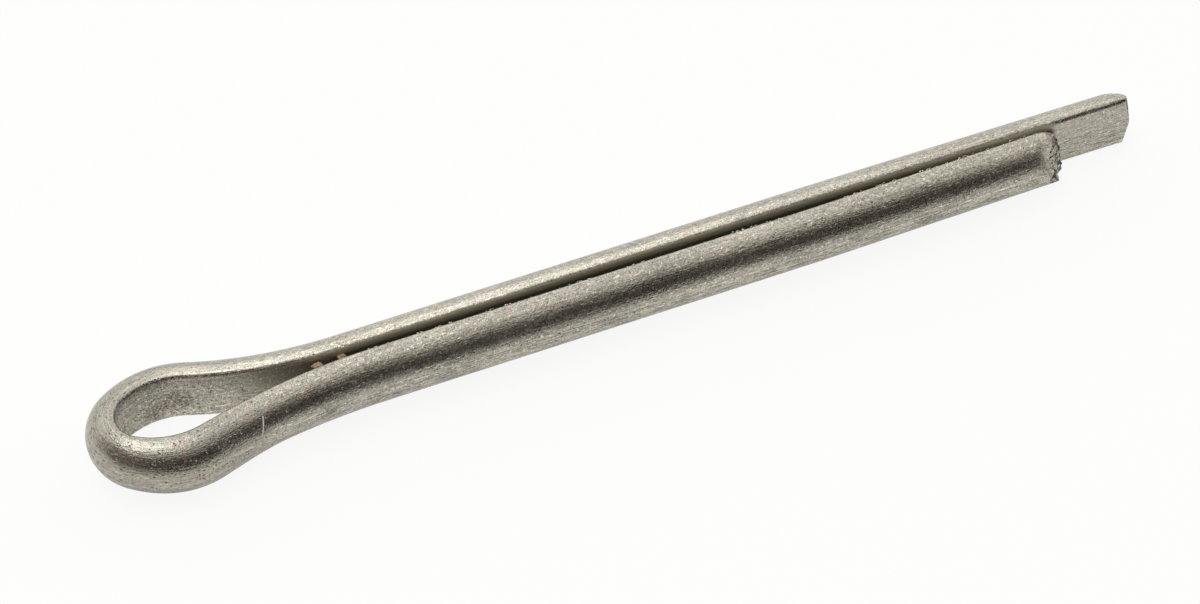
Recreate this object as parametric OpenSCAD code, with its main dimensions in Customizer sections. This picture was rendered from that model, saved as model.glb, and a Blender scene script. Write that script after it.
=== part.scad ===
// Split pin of the 4 mm size: one length of half-round steel wire folded back on itself.
// The wire's flat side faces inwards, so the two legs together make a round shank with a slit.
// X runs along the shank from the eye to the tips, Y across the legs, Z up. The origin is on the
// shank's axis, just past the eye, where the two legs begin to run parallel. Millimetres.

/* [Wire] */
// Radius of the half-round wire, half the closed shank's diameter
wire_r = 1.8; // [1.4:0.05:2.2]
// Rounding of the wire's two long edges, where its flat meets its round side
edge_r = 0.24; // [0.1:0.01:0.35]

/* [Eye] */
// From the origin back to the inside of the crown, the far end of the eye's opening
eye_reach = 13.6; // [13.6:0.1:18]
// Inside radius of the tight bend round the crown
crown_r = 1.34; // [1.1:0.01:1.6]
// Angle that the crown bends to each side of its middle
crown_turn = 58.5; // [52:0.1:64]
// Inside radius of the bowed sides after the crown
bow_r = 4.07; // [3.5:0.01:4.6]
// Radius of the hollow bend from the bowed side to the shank on the long leg
long_shoulder_r = 23.1; // [16:0.1:24]
// The same on the short leg
short_shoulder_r = 37.8; // [26:0.1:38]
// Angle that the eye leans towards the short leg
eye_lean = 2.34; // [0:0.01:2.5]
// Sideways offset of the crown from the shank's axis, towards the long leg
crown_offset = 0.24; // [0:0.01:0.3]

/* [Legs] */
// Slit between the two flats where the legs run parallel
slit = 0.47; // [0.45:0.01:0.8]
// Origin to the middle of the long leg's end
long_leg = 42.9; // [38:0.05:44]
// How much shorter the other leg is, at the middle of its flat
leg_step = 4.35; // [2:0.05:6]
// Origin to the point where the legs begin to close towards each other
close_from = 23.7; // [22:0.1:28]
// Angle that the long leg closes
long_close = 0.46; // [0.1:0.01:0.5]
// Angle that the short leg closes
short_close = 0.86; // [0.1:0.01:0.9]
// Radius of both those slight bends
close_r = 60; // [40:1:90]

/* [Cut ends] */
// Slope of the long leg's end above and below its middle
long_end_slope = 10.5; // [2:0.5:20]
// Roll-over of the sheared outer edge on the long leg's end
roll_over_r = 0.8; // [0.3:0.05:1.2]
// Slant of the short leg's sheared end in plan, flat side longest
short_end_slant = 35; // [5:1:45]
// Lean of the same end, bottom longest
short_end_lean = 14; // [2:1:25]

/* [Hidden] */
$fa = 5;
$fs = 0.12;
swell = 0.008;                // how much fuller a bend is than the next one out from the eye
lap = 0.06;                   // how far each stretch of wire starts inside the one before it
reach = 4 * wire_r;           // size of the cutting blocks, more than the wire's width
steel = [0.62, 0.61, 0.58];

// Height of the edge rounding's centre above the wire's mid height
edge_z = sqrt(pow(wire_r - edge_r, 2) - pow(edge_r, 2));
short_leg = long_leg - leg_step;

// The wire's section: flat on the Y axis, round side towards +X, both corners eased.
// Bending swells the wire a little, so the section can be made fuller all round.
module section(fullness = 0) {
    extra = fullness * swell;
    flare = (wire_r + extra) / (wire_r - edge_r);
    intersection() {
        circle(r = wire_r + extra);
        polygon([[0, 0], [edge_r, edge_z] * flare, [2 * wire_r, 2 * wire_r],
                 [2 * wire_r, -2 * wire_r], [edge_r, -edge_z] * flare]);
    }
    polygon([[-extra, -edge_z], [edge_r, -edge_z], [0, 0], [edge_r, edge_z], [-extra, edge_z]]);
    for (side = [-1, 1])
        translate([edge_r, side * edge_z]) circle(r = edge_r + extra);
}

// A straight run of wire along +X, with its flat on the XZ plane and its round side towards +Y
module run(length) {
    translate([-lap, 0, 0]) rotate([90, 0, 90]) linear_extrude(length + 2 * lap) section();
}

// A bend that starts along +X. A positive turn bends towards the flat side, a negative one away from it.
// The radius is measured to the flat.
module bend(radius, turn, fullness) {
    lead = lap / radius * 180 / PI;
    if (turn > 0)
        translate([0, -radius, 0]) rotate([0, 0, 90 - turn])
            rotate_extrude(angle = turn + lead) translate([radius, 0]) section(fullness);
    else
        translate([0, radius, 0]) rotate([0, 0, -90 - lead])
            rotate_extrude(angle = lead - turn) translate([radius, 0]) mirror([1, 0]) section(fullness);
}

// Lays [length or radius, turn, fullness] steps end to end, each starting where the last one stopped
module wire(steps, i = 0) {
    if (i < len(steps)) {
        size = steps[i][0];
        turn = steps[i][1];
        if (turn == 0)
            run(size);
        else
            bend(size, turn, steps[i][2]);
        ahead = turn == 0 ? [size, 0, 0]
                          : [size * sin(abs(turn)), -sign(turn) * size * (1 - cos(turn)), 0];
        translate(ahead) rotate([0, 0, -turn]) wire(steps, i + 1);
    }
}

// Centre of the bowed side, from the middle of the crown with X along the eye's own axis
bow_x = crown_r - (crown_r - bow_r) * cos(crown_turn);
bow_y = (crown_r - bow_r) * sin(crown_turn);

// Steepest slope of one side to the shank, where its bow meets its shoulder bend
function slope(lean, offset, shoulder) =
    acos((slit / 2 + shoulder - offset - bow_x * sin(lean) - bow_y * cos(lean)) / (bow_r + shoulder));
// Where that side's shoulder bend ends along the shank
function shoulder_end(lean, offset, shoulder) =
    -eye_reach + bow_x * cos(lean) - bow_y * sin(lean)
    + (bow_r + shoulder) * sin(slope(lean, offset, shoulder));

// The tight bend round the end of the eye, the fullest part of the wire
module crown() {
    translate([-eye_reach, crown_offset, 0]) rotate([0, 0, -eye_lean])
        translate([crown_r, 0, 0]) rotate([0, 0, 180 - crown_turn])
            rotate_extrude(angle = 2 * crown_turn) translate([crown_r, 0]) section(3);
}

// One side of the pin, towards +Y, from the end of the crown to a square-cut tip
module side_wire(lean, offset, shoulder, closing, tip) {
    steepest = slope(lean, offset, shoulder);
    translate([-eye_reach, offset, 0]) rotate([0, 0, lean])
        translate([crown_r * (1 - cos(crown_turn)), crown_r * sin(crown_turn), 0])
            rotate([0, 0, 90 - crown_turn])
                wire([[bow_r, 90 - crown_turn + lean + steepest, 2],
                      [shoulder, -steepest, 1],
                      [close_from - shoulder_end(lean, offset, shoulder), 0],
                      [close_r, closing, 1],
                      [tip - close_from - close_r * sin(closing), 0]]);
}

// The long leg's side, its end sloped above and below the middle and its outer edge rolled over
module long_side() {
    outer_y = slit / 2 + wire_r - (long_leg - close_from) * tan(long_close);
    difference() {
        side_wire(-eye_lean, crown_offset, long_shoulder_r, long_close, long_leg + 1);
        for (up = [-1, 1])
            translate([long_leg, -reach / 2, 0]) rotate([0, -up * long_end_slope, 0])
                translate([0, 0, up > 0 ? -0.5 : -reach]) cube([reach, reach, reach + 0.5]);
        translate([long_leg - roll_over_r, outer_y - roll_over_r, -reach / 2])
            linear_extrude(reach) difference() {
                square(3 * roll_over_r);
                circle(r = roll_over_r);
            }
    }
}

// The short leg's side, towards +Y like the other, its end sheared on a slant
module short_side() {
    difference() {
        side_wire(eye_lean, -crown_offset, short_shoulder_r, short_close, short_leg + 3);
        translate([short_leg, 0, 0]) rotate([0, -short_end_lean, short_end_slant])
            translate([0, -reach, -reach]) cube([2 * reach, 2 * reach, 2 * reach]);
    }
}

module split_pin() {
    color(steel) {
        crown();
        long_side();
        mirror([0, 1, 0]) short_side();
    }
}

split_pin();
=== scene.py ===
# Split pin: its dressed model, floor, light and camera. Metres, in the frame of the CAD solid.
from math import acos, atan2, cos, pi, radians, sin, sqrt

import bpy
import numpy as np
from mathutils import Matrix, Vector


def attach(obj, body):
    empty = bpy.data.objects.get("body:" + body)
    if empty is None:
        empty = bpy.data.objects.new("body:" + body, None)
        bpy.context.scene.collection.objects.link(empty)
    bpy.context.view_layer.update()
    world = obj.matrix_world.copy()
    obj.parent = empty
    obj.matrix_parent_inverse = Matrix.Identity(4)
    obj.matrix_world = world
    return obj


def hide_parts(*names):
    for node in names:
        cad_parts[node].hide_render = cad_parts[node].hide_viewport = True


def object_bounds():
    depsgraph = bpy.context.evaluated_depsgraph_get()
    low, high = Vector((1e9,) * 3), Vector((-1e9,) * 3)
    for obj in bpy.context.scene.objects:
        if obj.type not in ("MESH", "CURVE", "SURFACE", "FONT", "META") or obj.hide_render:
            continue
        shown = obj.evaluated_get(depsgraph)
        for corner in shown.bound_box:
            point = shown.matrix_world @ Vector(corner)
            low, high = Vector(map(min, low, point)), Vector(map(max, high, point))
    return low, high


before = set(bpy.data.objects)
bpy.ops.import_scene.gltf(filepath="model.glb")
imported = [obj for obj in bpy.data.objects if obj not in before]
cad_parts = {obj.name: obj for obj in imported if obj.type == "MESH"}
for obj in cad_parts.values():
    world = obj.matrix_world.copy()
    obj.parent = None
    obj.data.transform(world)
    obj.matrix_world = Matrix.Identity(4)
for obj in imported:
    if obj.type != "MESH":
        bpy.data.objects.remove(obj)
cad_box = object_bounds()

# ---------------------------------------------------------------------------------------------
# The wire. One length of half-round mild steel wire, drawn through a die, then bent round a
# former with its flat side inwards. It is swept from the long leg's tip, round the eye, to the
# short leg's tip, and both tips are sheared by a cutter from outside.
# ---------------------------------------------------------------------------------------------
MM = 0.001
wire_r = 1.8 * MM              # radius of the half-round wire
edge_r = 0.236 * MM            # easing of its two long edges
eye_reach = 13.6 * MM          # origin back to the inside of the crown
crown_offset = 0.242 * MM      # crown's sideways offset, towards the long leg
crown_r = 1.336 * MM           # inside radius of the tight bend
crown_turn = radians(58.49)    # its angle to each side of the middle
bow_r = 4.066 * MM             # inside radius of the bowed sides
eye_lean = radians(2.342)      # the eye's lean towards the short leg
long_shoulder_r = 23.11 * MM   # hollow bends from the bows to the shank
short_shoulder_r = 37.85 * MM
slit = 0.4675 * MM             # between the legs' flats
close_from = 23.66 * MM        # origin to where the legs begin to close
close_r = 60 * MM              # radius of that slight bend
long_close = radians(0.46)     # angle that each leg closes
short_close = radians(0.86)
long_leg = 42.89 * MM          # origin to the middle of each leg's end, on its flat
short_leg = 38.5 * MM

section_centre = 4 * wire_r / (3 * pi)   # how far the section's centroid lies from its flat


def side_line(lean, offset, shoulder_r, closing, leg):
    """Arcs and straights of one side from the crown's middle to the tip, towards +Y: a function from
    the distance along the flat to a point and heading, and the whole distance."""
    bow_x = crown_r - (crown_r - bow_r) * cos(crown_turn)
    bow_y = (crown_r - bow_r) * sin(crown_turn)
    across = slit / 2 + shoulder_r - offset - bow_x * sin(lean) - bow_y * cos(lean)
    slope = acos(across / (bow_r + shoulder_r))
    shoulder_end = (-eye_reach + bow_x * cos(lean) - bow_y * sin(lean)
                    + (bow_r + shoulder_r) * sin(slope))
    steps = [(crown_r, crown_turn),                              # a radius and its turn,
             (bow_r, pi / 2 - crown_turn + lean + slope),
             (shoulder_r, -slope),
             (close_from - shoulder_end, 0.0),                   # or a straight's length and no turn
             (close_r, closing),
             ((leg - close_from - close_r * sin(closing)) / cos(closing), 0.0)]
    lengths = [size if turn == 0 else size * abs(turn) for size, turn in steps]

    def place(distance):
        x, y, heading = -eye_reach, offset, pi / 2 + lean
        for (size, turn), length in zip(steps, lengths):
            run = min(distance, length) if length is not lengths[-1] else distance
            if turn == 0:
                x, y = x + run * cos(heading), y + run * sin(heading)
            else:
                way = 1 if turn > 0 else -1
                after = heading - way * run / size
                x += way * size * (sin(heading) - sin(after))
                y += way * size * (cos(after) - cos(heading))
                heading = after
            distance -= run
            if distance <= 0:
                break
        return x, y, heading

    return place, sum(lengths)


def spaced(total):
    """Distances from the crown's middle to a tip: close together round the eye and at the tip."""
    eye, tip = 13.5 * MM, 3.2 * MM
    return np.concatenate([np.linspace(0, eye, 190, endpoint=False),
                           np.linspace(eye, total - tip, 235, endpoint=False),
                           np.linspace(total - tip, total, 76)])


long_place, long_total = side_line(-eye_lean, crown_offset, long_shoulder_r, long_close, long_leg)
short_place, short_total = side_line(eye_lean, -crown_offset, short_shoulder_r, short_close, short_leg)
cap_rings = 13                 # rings from the rim of a sheared end to its middle

# A station holds the point on the flat, the ways outward and ahead to the tip, the distance along
# and the section's share, which falls from 1 to 0 over the rings of a sheared end
stations = []
for place, total, side in ((long_place, long_total, 1), (short_place, short_total, -1)):
    rows = []
    for distance in spaced(total):
        x, y, heading = place(distance)
        rows.append((x, side * y, -sin(heading), side * cos(heading), cos(heading), side * sin(heading),
                     side * distance, 1.0))
    for ring in range(1, cap_rings + 1):
        rows.append(rows[len(rows) - ring][:7] + (1 - ring / cap_rings,))
    stations.append(rows)
stations = np.array(stations[0][::-1] + stations[1][1:])

# The section, flat on its Y axis and round towards +X, from the lower edge round to the upper one
edge_z = sqrt((wire_r - edge_r) ** 2 - edge_r ** 2)
edge_end = atan2(edge_z, edge_r)
ring = [(edge_r + edge_r * cos(a), -edge_z + edge_r * sin(a)) for a in np.linspace(-pi, -edge_end, 8)]
ring += [(wire_r * cos(a), wire_r * sin(a)) for a in np.linspace(-edge_end, edge_end, 45)[1:-1]]
ring += [(edge_r + edge_r * cos(a), edge_z + edge_r * sin(a)) for a in np.linspace(edge_end, pi, 8)]
ring += [(0.0, z) for z in np.linspace(edge_z, -edge_z, 25)[1:-1]]
ring = [(x, y, 0.0) for x, y in ring]


def placed(name, data):
    """A new object at the origin, in the scene."""
    made = bpy.data.objects.new(name, data)
    bpy.context.scene.collection.objects.link(made)
    return made


def edge_chain(name, points, closed=False):
    """A mesh of edges only, one through each point."""
    mesh = bpy.data.meshes.new(name)
    links = [(i, i + 1) for i in range(len(points) - 1)] + ([(len(points) - 1, 0)] if closed else [])
    mesh.from_pydata([tuple(p) for p in points], links, [])
    return placed(name, mesh)


def keep_on_points(obj, name, values):
    """Stores a number, or a vector, on each point of a mesh."""
    values = np.asarray(values, np.float32)
    kind, field = ("FLOAT_VECTOR", "vector") if values.ndim == 2 else ("FLOAT", "value")
    obj.data.attributes.new(name, kind, "POINT").data.foreach_set(field, values.ravel())


level = np.zeros(len(stations))
flat_line, outward, ahead = (np.column_stack([stations[:, i], stations[:, i + 1], level])
                             for i in (0, 2, 4))
lifted = np.column_stack([level, level, np.arange(len(stations)) * 1e-7])   # a hair, so no two points meet
bent_wire = edge_chain("bent_wire", flat_line + lifted)
for name, values in (("flat_line", flat_line), ("outward", outward), ("ahead", ahead),
                     ("along", stations[:, 6]), ("share", stations[:, 7])):
    keep_on_points(bent_wire, name, values)
section = edge_chain("wire_section", ring, closed=True)
keep_on_points(section, "in_section", ring)


class Flow:
    """One output of a node, in a surface's or a geometry's tree. Sums of them add Math nodes."""

    def __init__(self, tree, socket=None):
        self.tree = tree
        self.socket = socket

    def node(self, kind, settings=None, sockets=None, take=0):
        """Adds a node: first its settings, then a value or a link for each named or numbered socket."""
        made = self.tree.nodes.new(kind)
        for name, setting in (settings or {}).items():
            setattr(made, name, setting)
        for name, value in (sockets or {}).items():
            if isinstance(value, Flow):
                self.tree.links.new(value.socket, made.inputs[name])
            else:
                made.inputs[name].default_value = value
        return Flow(self.tree, made.outputs[take] if made.outputs else None)

    def also(self, name):
        """Another output of the same node."""
        return Flow(self.tree, self.socket.node.outputs[name])

    def maths(self, operation, a, b=0.0):
        return self.node("ShaderNodeMath", {"operation": operation}, {0: a, 1: b})

    def __add__(self, other):
        return self.maths("ADD", self, other)

    def __radd__(self, other):
        return self.maths("ADD", other, self)

    def __sub__(self, other):
        return self.maths("SUBTRACT", self, other)

    def __rsub__(self, other):
        return self.maths("SUBTRACT", other, self)

    def __mul__(self, other):
        return self.maths("MULTIPLY", self, other)

    def __rmul__(self, other):
        return self.maths("MULTIPLY", other, self)

    def __truediv__(self, other):
        return self.maths("DIVIDE", self, other)

    def __rtruediv__(self, other):
        return self.maths("DIVIDE", other, self)

    def __pow__(self, other):
        return self.maths("POWER", self, other)

    def __gt__(self, other):
        return self.maths("GREATER_THAN", self, other)

    def __lt__(self, other):
        return self.maths("LESS_THAN", self, other)

    def __abs__(self):
        return self.maths("ABSOLUTE", self)

    def at_least(self, other):
        return self.maths("MAXIMUM", self, other)

    def at_most(self, other):
        return self.maths("MINIMUM", self, other)

    def eased(self, low, high, to_low=0.0, to_high=1.0):
        """A smooth step from to_low, at low, to to_high, at high."""
        return self.node("ShaderNodeMapRange", {"interpolation_type": "SMOOTHSTEP"},
                         {"Value": self, "From Min": low, "From Max": high,
                          "To Min": to_low, "To Max": to_high})

    def blend(self, low, high):
        """The colour between two at this share, from 0 for low to 1 for high."""
        return self.node("ShaderNodeMix", {"data_type": "RGBA"}, {"Factor": self, 6: low, 7: high}, take=2)

    def noise(self, place, per_mm, detail=2.0, rough=0.5):
        """Smooth noise over a place, with so many grains to the millimetre."""
        return self.node("ShaderNodeTexNoise", {"noise_dimensions": "3D"},
                         {"Vector": place, "Scale": per_mm / MM, "Detail": detail, "Roughness": rough})

    def cells(self, place, per_mm, feature="F1"):
        """Distance to the middle, or to the edge, of scattered cells, so many to the millimetre."""
        return self.node("ShaderNodeTexVoronoi", {"voronoi_dimensions": "3D", "feature": feature},
                         {"Vector": place, "Scale": per_mm / MM})

    def vector(self, operation, a, b=None, scale=None):
        sockets = {0: a}
        if b is not None:
            sockets[1] = b
        if scale is not None:
            sockets["Scale"] = scale
        return self.node("ShaderNodeVectorMath", {"operation": operation}, sockets)

    def joined(self, x, y, z):
        return self.node("ShaderNodeCombineXYZ", {}, {0: x, 1: y, 2: z})

    def parts(self):
        """X, Y and Z of a vector."""
        split = self.node("ShaderNodeSeparateXYZ", {}, {0: self})
        return split, split.also(1), split.also(2)

    def end_in_surface(self, sockets):
        """Ends a material's tree in one shader, with these sockets set or linked."""
        shader = self.node("ShaderNodeBsdfPrincipled", {}, sockets)
        self.node("ShaderNodeOutputMaterial", {}, {"Surface": shader})

    def stored(self, name, kind="FLOAT"):
        """A number, or a vector, that the points of a mesh hold."""
        return self.node("GeometryNodeInputNamedAttribute", {"data_type": kind}, {"Name": name})

    def store(self, mesh, name, kind, value):
        """A mesh whose points hold a number, or a vector, more."""
        return self.node("GeometryNodeStoreNamedAttribute", {"data_type": kind, "domain": "POINT"},
                         {"Geometry": mesh, "Name": name, "Value": value})


def new_tree(name, inputs, output):
    """A tree of geometry nodes with its inputs and one output, and its input node."""
    tree = bpy.data.node_groups.new(name, "GeometryNodeTree")
    for label, kind in inputs:
        tree.interface.new_socket(label, in_out="INPUT", socket_type="NodeSocket" + kind)
    tree.interface.new_socket(output, in_out="OUTPUT", socket_type="NodeSocketGeometry")
    return tree, Flow(tree).node("NodeGroupInput")


def run_tree(tree, start, name, values):
    """The plain mesh that a tree makes of an object, as a new piece. The object itself goes."""
    modifier = start.modifiers.new(tree.name, "NODES")
    modifier.node_group = tree
    for item in tree.interface.items_tree:
        if item.in_out == "INPUT" and item.name in values:
            modifier[item.identifier] = values[item.name]
    made = start.evaluated_get(bpy.context.evaluated_depsgraph_get())
    piece = placed(name, bpy.data.meshes.new_from_object(made))
    bpy.data.objects.remove(start)
    return piece


# The tree that sweeps the section along the bent wire and shapes the two tips
sizes = {"Crown depth": 0.900,            # section's depth at the crown, against the legs
         "Crown run": 3.74 * MM,          # from the crown's middle to where that ends
         "Eye height": 0.95,              # section's height round the eye, against the legs
         "Eye run": 5.48 * MM,            # to where that begins to fade
         "Eye fade": 5.98 * MM,           # over this length
         "Bow depth": 1.075,              # section's depth on the short leg's bow
         "Long bow depth": 0.99,          # and on the long leg's
         "Bow place": 4.32 * MM,          # from the crown's middle to the fullest place
         "Bow run": 4.73 * MM,            # to each side of it
         "Bow squareness": 2.5,           # its squareness there, 2 for a round one
         "Bow belly": 0.13,               # how much slimmer it is above than below
         "Tip run": 3.1 * MM,             # length of wire that a slanted end is drawn out over
         "Long end place": 0.07 * MM,     # how far the long leg's end stands past the leg's length
         "Long end slope": 0.21,          # how far it falls back, upwards
         "Long end droop": 0.16,          # and downwards
         "Long end flare": 0.24,          # its back stands further forward than its flat
         "Roll-over": 0.62 * MM,          # depth by which the cutter pressed the long leg's back in
         "Roll-over run": 1.24 * MM,      # over this length of the tip
         "Corner": 0.17 * MM,             # and again at the very end
         "Corner run": 0.26 * MM,
         "Short end place": 0.23 * MM,    # how far the short leg's end stands past the leg's length
         "Short end slant": 0.80,         # how far it falls back from its flat to its back
         "Short end lean": 0.19,          # and from its lower to its upper edge
         "Lip slant": 0.84,               # slant of the line that parts the lower lip from the step
         "Lip reach": 0.24 / MM,          # how the lip stands out, with the square of the depth
         "Lip hollow": 0.13 * MM,         # and how far it is hollow
         "Step back": 0.24 * MM,          # how far the step over the lip falls back
         "Short top pressed": 0.62 * MM,  # the cutter bent the short leg's upper edge down
         "Pressed run": 1.2 * MM,         # over this length of the tip
         "Slit edge": 0.02 * MM,          # extra easing of the edges along the slit
         "Ragged": 0.14 * MM,             # how far the short leg's torn end is ragged
         "Unevenness": 0.006 * MM}        # how far the wire's skin wanders
sweep, given = new_tree("sweep_half_round",
                        [("Wire", "Geometry")] + [(name, "Float") for name in sizes]
                        + [("Section", "Object"), ("Steel", "Material")], "Pin")
path = given.node("GeometryNodeMeshToCurve", {}, {"Mesh": given.also("Wire")})
outline = given.node("GeometryNodeObjectInfo", {}, {"Object": given.also("Section")}).also("Geometry")
outline = given.node("GeometryNodeMeshToCurve", {}, {"Mesh": outline})
swept = given.node("GeometryNodeCurveToMesh", {},
                   {"Curve": path, "Profile Curve": outline, "Fill Caps": False})

along = given.stored("along")
share = given.stored("share")
distance = abs(along)
on_short = along < 0.0
on_long = 1 - on_short
out, up, _ = given.stored("in_section", "FLOAT_VECTOR").parts()
out = section_centre + (out - section_centre) * share      # the rings of a cap close on its middle
up = up * share

# Bending thins the crown, flattens the eye a little and squares and swells the short leg's bow
crown_share = (distance / given.also("Crown run")).eased(0, 1, 1, 0)
bow_share = (abs(distance - given.also("Bow place")) / given.also("Bow run")).eased(0, 1, 1, 0)
eye_share = ((distance - given.also("Eye run")) / given.also("Eye fade")).eased(0, 1, 1, 0)
depth = (1 + crown_share * (given.also("Crown depth") - 1)
         + bow_share * on_short * (given.also("Bow depth") - 1)
         + bow_share * on_long * (given.also("Long bow depth") - 1))
rise = (up / wire_r).at_least(-0.985).at_most(0.985)       # short of 1, where the circle's depth is 0
power = given.also("Bow squareness")
squarer = (1 - abs(rise) ** power) ** (1 / power) / (1 - rise * rise) ** 0.5
belly = 1 - given.also("Bow belly") * rise.at_least(-0.15)
depth = depth * (1 + bow_share * on_short * (squarer * belly - 1))
height = 1 + eye_share * (given.also("Eye height") - 1)

# The tips: how far each point of the end lies before or behind the middle of the flat
to_tip = (long_total * on_long + short_total * on_short) - distance
tip_share = (1 - to_tip / given.also("Tip run")).at_least(0.0)
long_end = (given.also("Long end place") + out * given.also("Long end flare")
            - up.at_least(0.0) * given.also("Long end slope")
            + up.at_most(0.0) * given.also("Long end droop"))
lower = up.eased(-0.4 * MM, -1.2 * MM)
lip = (up * -1 - out * given.also("Lip slant")).eased(-0.20 * MM, 0.20 * MM)
lip_reach = out * out * given.also("Lip reach") - out.eased(0.1 * MM, 0.45 * MM) * given.also("Lip hollow")
short_end = (given.also("Short end place") - out * given.also("Short end slant")
             - up * given.also("Short end lean")
             + lower * (lip * lip_reach - (1 - lip) * given.also("Step back")))


def at_tip(run):
    """Grows from 0, this far before a leg's end, to 1 at the end, ever faster."""
    near = (1 - to_tip / run).at_least(0.0)
    return near * near


rolled = (at_tip(given.also("Roll-over run")) * given.also("Roll-over")
          + at_tip(given.also("Corner run")) * given.also("Corner"))
depth = depth * (1 - rolled * on_long / wire_r)
pressed = (at_tip(given.also("Pressed run")) * given.also("Short top pressed") * on_short
           * (up / wire_r).at_least(0.0))

# The edges along the slit are eased more, the short leg's by less, the long leg's most near its tip
near_edge = ((abs(up) - 1.2 * MM) / (0.58 * MM)).at_least(0.0).at_most(1.0)
near_flat = (1 - out / (0.7 * MM)).at_least(0.0)
eased_edge = (near_edge * near_edge * near_flat * given.also("Slit edge")
              * (1 + 4 * along.eased(46 * MM, 54 * MM)) * (1 - 0.7 * on_short) * (share > 0.999))

# The torn end's grain, and a little unevenness square to the skin
on_section = given.joined(out, up, 0.0)
tear = given.noise(on_section, 2.1, detail=3.0, rough=0.65)
grain = given.noise(on_section, 7.0, rough=0.6)
short_end = short_end + ((tear - 0.5) * 2 + (grain - 0.5) * 0.8) * given.also("Ragged") * 1.6
long_end = long_end + (tear - 0.5) * given.also("Ragged") * 0.4
shift = (long_end * on_long + short_end * on_short) * tip_share
skin = given.noise(given.joined(along * 0.35, out, up), 0.9)
uneven = (skin - 0.5) * 2 * given.also("Unevenness")

final_out = out * depth + uneven * (out / wire_r) + eased_edge
final_up = up * height + uneven * (up / wire_r) - pressed
point = given.stored("flat_line", "FLOAT_VECTOR")
for way, far in (("outward", final_out), ("ahead", shift)):
    step = given.vector("SCALE", given.stored(way, "FLOAT_VECTOR"), scale=far)
    point = given.vector("ADD", point, step)
point = given.vector("ADD", point, given.joined(0.0, 0.0, final_up))
swept = given.store(swept, "straightened", "FLOAT_VECTOR", given.joined(along, out, up))
swept = given.store(swept, "sheared", "FLOAT", share < 0.999)
swept = given.node("GeometryNodeSetPosition", {}, {"Geometry": swept, "Position": point})
swept = given.node("GeometryNodeMergeByDistance", {}, {"Geometry": swept, "Distance": 1e-7})
swept = given.node("GeometryNodeFlipFaces", {}, {"Mesh": swept})
swept = given.node("GeometryNodeSetShadeSmooth", {}, {"Geometry": swept, "Shade Smooth": True})
swept = given.node("GeometryNodeRealizeInstances", {}, {"Geometry": swept})
swept = given.node("GeometryNodeSetMaterial", {}, {"Geometry": swept, "Material": given.also("Steel")})
given.node("NodeGroupOutput", {}, {"Pin": swept})


def cleared(owner):
    """The emptied tree of a material or a world."""
    owner.use_nodes = True
    owner.node_tree.nodes.clear()
    return Flow(owner.node_tree)


# Plain drawn steel: warm grey, satin, with fine lines along the wire, pits and a matt torn end
warm_grey = (0.482, 0.424, 0.376, 1)
green_grey = (0.412, 0.426, 0.360, 1)
stain_brown = (0.22, 0.145, 0.075, 1)
slit_dirt_and_shade = (0.055, 0.048, 0.033, 1)       # dirt and painted shade, deep between the flats
slit_dust_and_light = (0.43, 0.40, 0.295, 1)         # dust and painted light, near their upper edges
bare_scratch = (0.80, 0.78, 0.72, 1)
steel = bpy.data.materials.new("drawn_steel")
coat = cleared(steel)
place = coat.node("ShaderNodeAttribute", {"attribute_name": "straightened"}).also("Vector")
torn = coat.node("ShaderNodeAttribute", {"attribute_name": "sheared"}).also("Fac")
s_along, s_out, s_up = place.parts()
s_far = abs(s_along)                       # from the crown's middle, on either leg


def grain_of(per_mm, stretch=1.0, detail=2.0, rough=0.6):
    """Noise on the straightened wire, drawn out along it."""
    return coat.noise(coat.joined(s_along * (1 / stretch), s_out, s_up), per_mm, detail, rough)


def spot(centre, reach, strength):
    """A soft round spot on the straightened wire."""
    way = coat.vector("DISTANCE", place, centre).also("Value")
    return way.eased(0.1 * MM, reach, strength, 0)


# Where on the wire a point is
eye = s_far.eased(4 * MM, 10 * MM, 1, 0)
flat = s_out.eased(0.01 * MM, 0.10 * MM, 1, 0)
eye_wall = eye * flat
eye_skin = eye * (1 - flat)
belly = s_up.eased(0.1 * MM, 0.7 * MM, 1, 0) * (1 - eye * 0.7)
in_slit = (s_out.eased(0.06 * MM, 0.20 * MM, 1, 0) * s_far.eased(10 * MM, 14 * MM)
           * s_up.eased(1.66 * MM, 1.76 * MM, 1, 0) * s_along.eased(52.6 * MM, 53.2 * MM, 1, 0))
rim = torn * (1 - torn) * 4 * (s_along < 0.0)

# The grain, the lines that the die drew, and the pits
fine = grain_of(12.5, rough=0.7) - 0.5
coarse = grain_of(4.6, stretch=1.3) - 0.5
patch = grain_of(0.7, stretch=3.3, detail=3.0) - 0.5
lines = grain_of(15, stretch=30) - 0.5
dashes = grain_of(11, stretch=10, detail=1.0)
glints = grain_of(9.5, stretch=1.6, detail=0.0, rough=0.5).eased(0.62, 0.76)
hue = grain_of(5.5, detail=1.0).eased(0.38, 0.62)
pits = coat.cells(place, 3.2)
pits = pits.eased(0.09, 0.22, 1, 0) * (pits.also("Color").parts()[0] + eye * 0.30 + eye_wall * 0.35 > 0.80)
dots = coat.cells(place, 6.0)
dots = dots.eased(0.16, 0.32, 1, 0) * (dots.also("Color").parts()[0] + eye * 0.25 > 0.84)
pits = pits.at_least(dots * (0.55 + 0.35 * eye))
cracks = coat.cells(place, 1.9, "DISTANCE_TO_EDGE").eased(0.03, 0.10, 1, 0) * torn
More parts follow.
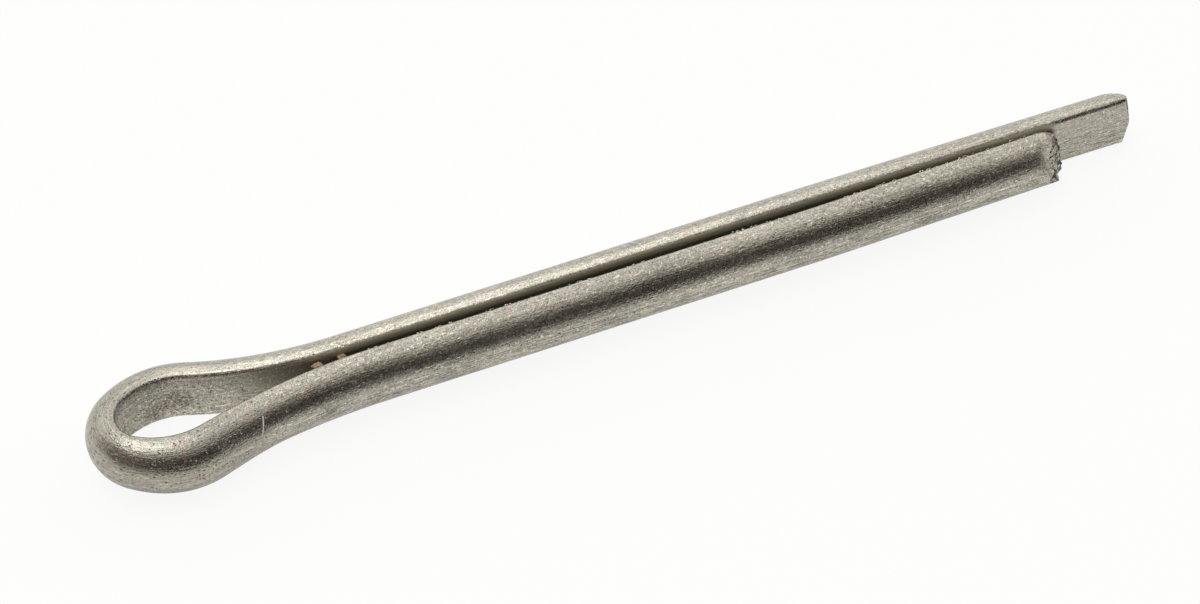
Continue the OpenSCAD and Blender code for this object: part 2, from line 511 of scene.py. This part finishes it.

# Wear: a brown stain in the eye, a rubbed edge on the long leg that is also a painted highlight, and one
# fine bright scratch
stain = (spot((4.35 * MM, 0.0, -0.25 * MM), 1.25 * MM, 1.0)
         + spot((3.15 * MM, 0.0, -0.80 * MM), 0.9 * MM, 0.7)
         + s_far.eased(7.5 * MM, 11 * MM) * s_far.eased(14 * MM, 18 * MM, 1, 0) * 0.7)
stain = (stain * flat * (0.15 + 1.3 * grain_of(6.5, detail=3.0).eased(0.44, 0.58))).at_most(1.0)
rubbed_and_highlight = (s_up.eased(1.35 * MM, 1.45 * MM) * (s_out - eye * 0.25 * MM).eased(0.35 * MM, 0.70 * MM, 1, 0)
          * s_along.eased(2.5 * MM, 5 * MM) * s_along.eased(25 * MM, 52 * MM, 1, 0))
scratch_way = s_along + 7.70 * MM - (1.31 * MM - s_up) * 0.53
scratch = (abs(scratch_way).eased(0.026 * MM, 0.055 * MM, 1, 0)
           * abs(s_up - 0.84 * MM).eased(0.47 * MM, 0.56 * MM, 1, 0) * (s_out > 0.2 * MM))

# The brightness of the grey, and what each thing adds to it or takes from it
shade = (0.97 + glints * (0.6 - 0.35 * eye_skin)
         + (2.1 + 1.7 * eye_wall - 0.6 * eye_skin) * fine
         + (1.0 + 1.3 * belly - 0.5 * eye_wall) * lines
         + (0.9 + 1.6 * torn + 1.2 * eye_wall - 0.45 * eye_skin) * coarse
         + 0.5 * patch)
for gain in (dashes.eased(0.57, 0.67) * belly * -0.42,                     # dark drawing lines
             dashes.eased(0.43, 0.33) * belly * 0.32,                      # and pale ones
             s_up.eased(-0.5 * MM, -1.2 * MM) * 0.07,                      # painted reflection: the lower side lighter
             pits * -0.6,
             # the long leg's rubbed edge, partly a painted highlight
             rubbed_and_highlight * 0.45,
             eye * -0.06,
             flat * (0.35 * eye - 0.03),                                   # flat inner faces
             eye_wall * s_up.eased(0.85 * MM, 1.5 * MM) * -0.26,           # painted shade under the eye's edge
             flat * s_far.eased(4.1 * MM, 3.3 * MM) * -0.17,               # painted shade inside the crown
             eye_skin * (s_up.eased(-1.0 * MM, -1.45 * MM) * 0.14          # painted light round the eye, below: lighter at the bottom, a little darker above
                         - s_up.eased(-0.2 * MM, -0.8 * MM) * 0.04),
             torn * (s_along > 0.0) * -0.78,                               # the long leg's dark end
             cracks * -0.85,
             torn * 0.22,
             rim * -0.5):
    shade = shade * (1 + gain)
tone = coat.vector("SCALE", hue.blend(warm_grey, green_grey), scale=shade.at_least(0.10))
tone = (stain * 0.38).blend(tone, stain_brown)
# In the slit: dirt with painted shade deep down, dust with painted light towards the upper edges
tone = (in_slit * 0.85).blend(tone, s_up.eased(1.15 * MM, 1.50 * MM).blend(slit_dirt_and_shade, slit_dust_and_light))
tone = (scratch * 0.9).blend(tone, bare_scratch)
relief = (fine * 0.8 + lines * 0.5 + coarse * 0.9 - pits * 0.8 + scratch * 1.5
          + torn * coarse * 5 - cracks * 1.2)
roughness = (0.29 + patch * 0.12 + fine * 0.3 - glints * 0.05 + torn * 0.25
             + eye_wall * 0.2 + in_slit * 0.3 + scratch * 0.3 + stain * 0.2)
bump = coat.node("ShaderNodeBump", {}, {"Strength": 0.9, "Distance": 0.022 * MM, "Height": relief})
coat.end_in_surface({"Base Color": tone, "Roughness": roughness, "Normal": bump,
                     "Metallic": (1 - 0.6 * stain) * (1 - 0.8 * in_slit) * (1 - scratch)})

pin = run_tree(sweep, bent_wire, "split_pin_wire", {**sizes, "Section": section, "Steel": steel})
bpy.data.objects.remove(section)
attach(pin, "root")
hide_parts("split_pin")

# ---------------------------------------------------------------------------------------------
# The burrs. Specks of steel that the drawing die left curled along the short leg's upper edge,
# where the wire's flat meets its round side.
# ---------------------------------------------------------------------------------------------
scatter, given = new_tree("scatter_specks",
                          [("Places", "Geometry"), ("Roundness", "Int"), ("Least", "Vector"),
                           ("Most", "Vector"), ("Lumps", "Float"), ("Seed", "Int"),
                           ("Finish", "Material")], "Specks")
speck = given.node("GeometryNodeMeshIcoSphere", {},
                   {"Radius": 0.5, "Subdivisions": given.also("Roundness")})
size = given.node("FunctionNodeRandomValue", {"data_type": "FLOAT_VECTOR"},
                  {0: given.also("Least"), 1: given.also("Most"), "Seed": given.also("Seed")})
turn = given.node("FunctionNodeRandomValue", {"data_type": "FLOAT_VECTOR"},
                  {0: (-0.5, -0.5, -0.5), 1: (0.5, 0.5, 0.5), "Seed": given.also("Seed") + 7})
turn = given.node("FunctionNodeEulerToRotation", {}, {0: turn})
specks = given.node("GeometryNodeInstanceOnPoints", {},
                    {"Points": given.also("Places"), "Instance": speck, "Rotation": turn, "Scale": size})
specks = given.node("GeometryNodeRealizeInstances", {}, {"Geometry": specks})
lump = given.noise(given.node("GeometryNodeInputPosition"), 9, detail=1.0).also("Color")
lump = given.vector("SCALE", given.vector("SUBTRACT", lump, (0.5, 0.5, 0.5)), scale=given.also("Lumps"))
specks = given.node("GeometryNodeSetPosition", {}, {"Geometry": specks, "Offset": lump})
specks = given.node("GeometryNodeSetMaterial", {}, {"Geometry": specks, "Material": given.also("Finish")})
given.node("NodeGroupOutput", {}, {"Specks": specks})


def specks_at(name, places, **values):
    """A mesh object of one speck at each place."""
    mesh = bpy.data.meshes.new(name + "_places")
    mesh.from_pydata(places, [], [])
    return run_tree(scatter, placed(name + "_places", mesh), name, values)


burr_clumps = 56
clump_reach = 0.22 * MM
chance = np.random.default_rng(41)
burr_places = []
for middle in chance.uniform(12 * MM, short_total - 1 * MM, burr_clumps):
    for distance in middle + chance.normal(0, clump_reach, chance.integers(1, 5)):
        x, y, heading = short_place(distance)
        out = chance.uniform(0.02, 0.12) * MM
        z = chance.uniform(1.69, 1.76) * MM
        burr_places.append((x - out * sin(heading), -y - out * cos(heading), z))

grey_steel = (0.55, 0.53, 0.50, 1)
bright_steel = (0.92, 0.90, 0.87, 1)
torn_steel = bpy.data.materials.new("torn_steel")
coat = cleared(torn_steel)
mottle = coat.noise(coat.node("ShaderNodeTexCoord").also("Object"), 14)
coat.end_in_surface({"Base Color": mottle.eased(0.3, 0.7).blend(grey_steel, bright_steel),
                     "Metallic": 1.0, "Roughness": 0.35 + mottle * 0.2})
burrs = specks_at("slit_burrs", burr_places, Roundness=1, Least=(0.05 * MM, 0.03 * MM, 0.025 * MM),
                  Most=(0.16 * MM, 0.07 * MM, 0.06 * MM), Lumps=0.05 * MM, Seed=3, Finish=torn_steel)
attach(burrs, "root")

# ---------------------------------------------------------------------------------------------
# The grit. A few brown crumbs of dried dirt, caught where the eye narrows into the slit and held
# there between the two flats.
# ---------------------------------------------------------------------------------------------
grit_heaps = ((-3.05, 1.20, 0.10, 6),      # X and Z of a heap, its spread, in mm, and its crumbs
              (-1.70, 1.25, 0.06, 2),
              (-2.3, 0.2, 0.40, 7))
grit_places = []
for heap_x, heap_z, spread, count in grit_heaps:
    for _ in range(count):
        x = heap_x + chance.normal(0, spread)
        y = chance.normal(0.02, 0.05)
        z = heap_z + chance.normal(0, spread * 0.5)
        grit_places.append((x * MM, y * MM, z * MM))

dark_dirt = (0.23, 0.13, 0.07, 1)
pale_dirt = (0.58, 0.42, 0.30, 1)
dried_dirt = bpy.data.materials.new("dried_dirt")
coat = cleared(dried_dirt)
mottle = coat.noise(coat.node("ShaderNodeTexCoord").also("Object"), 10, detail=3.0)
bump = coat.node("ShaderNodeBump", {}, {"Strength": 0.7, "Distance": 0.02 * MM, "Height": mottle})
coat.end_in_surface({"Base Color": mottle.eased(0.3, 0.7).blend(dark_dirt, pale_dirt),
                     "Roughness": 0.85, "Normal": bump})
grit = specks_at("slit_grit", grit_places, Roundness=2, Least=(0.22 * MM, 0.16 * MM, 0.15 * MM),
                 Most=(0.60 * MM, 0.36 * MM, 0.30 * MM), Lumps=0.10 * MM, Seed=5, Finish=dried_dirt)
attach(grit, "root")

# ---------------------------------------------------------------------------------------------
# The table. A plain white sheet, on which the pin lies on the underside of its wire.
# ---------------------------------------------------------------------------------------------
floor_z = cad_box[0].z
half = 3.0                     # half of its width


def laid_flat(name, left, near, right, far, z):
    """A rectangle that faces up."""
    mesh = bpy.data.meshes.new(name)
    corners = [(left, near, z), (right, near, z), (right, far, z), (left, far, z)]
    mesh.from_pydata(corners, [], [(0, 1, 2, 3)])
    return placed(name, mesh)


white_sheet = laid_flat("white_sheet", -half, -half, half, half, floor_z)
paper = bpy.data.materials.new("white_paper")
sheet = cleared(paper)
lit = sheet.node("ShaderNodeBsdfDiffuse", {}, {"Color": (0.97, 0.965, 0.92, 1)})
glow = sheet.node("ShaderNodeEmission", {}, {"Color": (1, 1, 1, 1), "Strength": 1.0})
rays = sheet.node("ShaderNodeLightPath")             # the eye sees mostly glow, with the pin's shadow
seen_by = rays.also("Is Camera Ray") + 0.6 * (rays.also("Is Glossy Ray") + rays.also("Is Transmission Ray"))
shown = sheet.node("ShaderNodeMixShader", {}, {0: seen_by * 0.9, 1: lit, 2: glow})
sheet.node("ShaderNodeOutputMaterial", {}, {"Surface": shown})
white_sheet.data.materials.append(paper)

# ---------------------------------------------------------------------------------------------
# The light. A pale room, dim on the side that the camera stands on, with a soft lamp overhead,
# a little to the left and behind. Past the table the camera sees plain white.
# ---------------------------------------------------------------------------------------------
room_white = (1.0, 0.985, 0.95, 1)
dim_warm = (1.0, 0.86, 0.78, 1)
room = bpy.data.worlds.new("pale_room")
bpy.context.scene.world = room
air = cleared(room)
way_x, way_y, way_z = air.node("ShaderNodeTexCoord").also("Generated").parts()
bearing = air.maths("ARCTAN2", way_x, 0 - way_y)     # 0 on the short leg's side, left is below 0
leftwards = 0 - bearing
dim = abs(bearing + radians(20)).eased(radians(62), radians(118), 1, 0) * way_z.eased(0.70, 0.96, 1, 0)
wall = (1.02 + 0.42 * abs(way_z - 0.50).eased(0.0, 0.32, 1, 0)
        - 0.25 * leftwards.eased(radians(70), radians(110)) * way_z.eased(0.1, 0.5, 1, 0))
gloom = 0.055 + 0.14 * leftwards.eased(0.0, radians(75))
strength = wall * (1 - dim) + gloom * dim
to_eye = air.node("ShaderNodeLightPath").also("Is Camera Ray")
colour = to_eye.blend(dim.blend(room_white, dim_warm), (1, 1, 1, 1))
sky = air.node("ShaderNodeBackground", {}, {"Color": colour, "Strength": strength * (1 - to_eye) + to_eye})
air.node("ShaderNodeOutputWorld", {}, {"Surface": sky})

# A dim card lies in front, past the edge of the view, where only the steel's reflection finds it
dim_card = laid_flat("dim_card", -0.4, -0.6, 0.4, -0.025, floor_z + 0.0001)
felt = bpy.data.materials.new("dim_felt")
felt.use_nodes = True
felt.node_tree.nodes["Principled BSDF"].inputs["Base Color"].default_value = (0.06, 0.052, 0.046, 1)
felt.node_tree.nodes["Principled BSDF"].inputs["Roughness"].default_value = 1.0
dim_card.data.materials.append(felt)
dim_card.visible_camera = False
dim_card.visible_diffuse = False
dim_card.visible_shadow = False

lamp_bearing, lamp_rise = radians(-115), radians(76)
lamp_way = Vector((sin(lamp_bearing) * cos(lamp_rise), -cos(lamp_bearing) * cos(lamp_rise), sin(lamp_rise)))
lamp_distance = 0.45
lamp_size = 0.20
lamp_glow = 3.2                # brightness of its face
lamp_light = bpy.data.lights.new("soft_lamp", "AREA")
lamp_light.shape = "DISK"
lamp_light.size = lamp_size
lamp_light.energy = lamp_glow * pi * pi * lamp_size ** 2 / 4
lamp_light.color = (1.0, 0.985, 0.975)
soft_lamp = placed("soft_lamp", lamp_light)
lamp_turn = lamp_way.to_track_quat("Z", "Y").to_matrix().to_4x4()
soft_lamp.matrix_world = Matrix.Translation(lamp_way * lamp_distance) @ lamp_turn

# ---------------------------------------------------------------------------------------------
# The camera. It looks down at the pin from the short leg's side, along the shank's left.
# ---------------------------------------------------------------------------------------------
yaw, pitch = radians(22.403), radians(50.907)
image_width = 1200             # pixels
pixel = 0.0498109 * MM         # size of a pixel at the aim point
reach_px = 4387.16             # distance to the aim point, in those pixels
right = Vector((cos(yaw), -sin(yaw), 0))
over = Vector((sin(yaw) * sin(pitch), cos(yaw) * sin(pitch), cos(pitch)))
look = Vector((sin(yaw) * cos(pitch), cos(yaw) * cos(pitch), -sin(pitch)))
behind_crown = Vector((-eye_reach - 130.487 * pixel, 0, 0))
aim = behind_crown + (603.86 * right + 182.40 * over) * pixel
stand = aim - reach_px * pixel * look
lens = bpy.data.cameras.new("camera")
lens.sensor_width = 36
lens.sensor_fit = "HORIZONTAL"
lens.lens = lens.sensor_width * reach_px / image_width
lens.clip_start = 0.01
camera = placed("camera", lens)
camera.matrix_world = Matrix((
    (right.x, over.x, -look.x, stand.x),
    (right.y, over.y, -look.y, stand.y),
    (right.z, over.z, -look.z, stand.z),
    (0, 0, 0, 1)))
bpy.context.scene.camera = camera
bpy.context.scene.view_settings.view_transform = "Standard"
